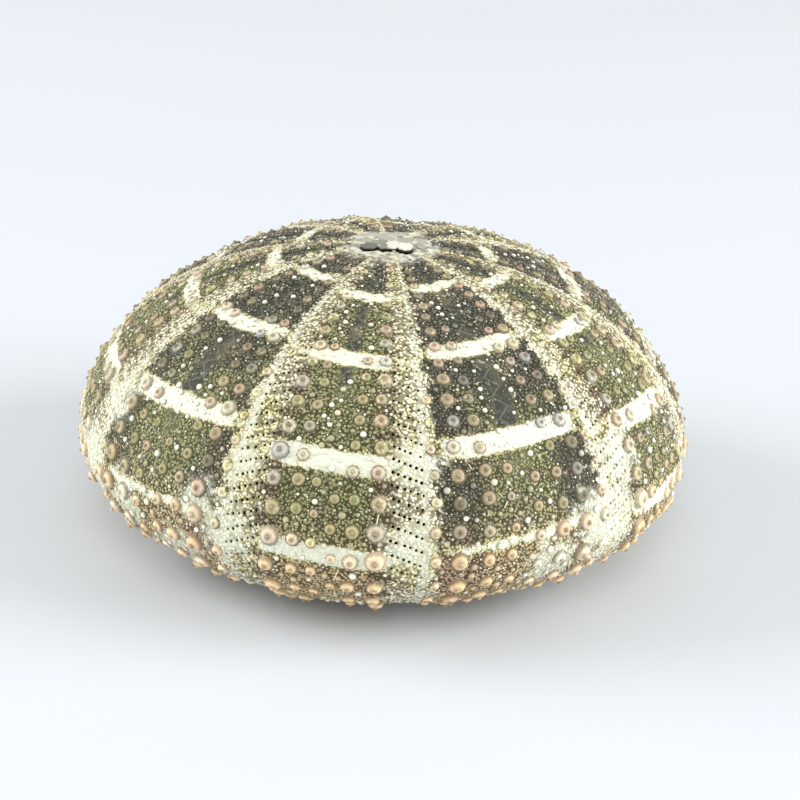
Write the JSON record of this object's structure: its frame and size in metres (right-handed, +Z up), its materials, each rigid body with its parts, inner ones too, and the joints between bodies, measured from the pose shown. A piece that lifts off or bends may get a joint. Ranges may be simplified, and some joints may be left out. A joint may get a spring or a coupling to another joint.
{
  "type": "sea urchin shell",
  "caption": "Empty sea urchin shell: a hollow low dome with five-fold bands of tubercles and pore zones, small plates round the apex and a notched mouth opening underneath.",
  "frame": {"origin": "the middle of the shell, on the surface it rests on", "axes": "+Z up through the apex, along the axis of five-fold symmetry; an ambulacrum faces -Y"},
  "size_m": [0.0996, 0.1004, 0.0479],
  "materials": {
    "shell": "natural porous calcite, matte, in olive green, grey and cream with pale bands"
  },
  "bodies": {
    "root": {"urchin_shell": "shell"}
  },
  "joints": []
}
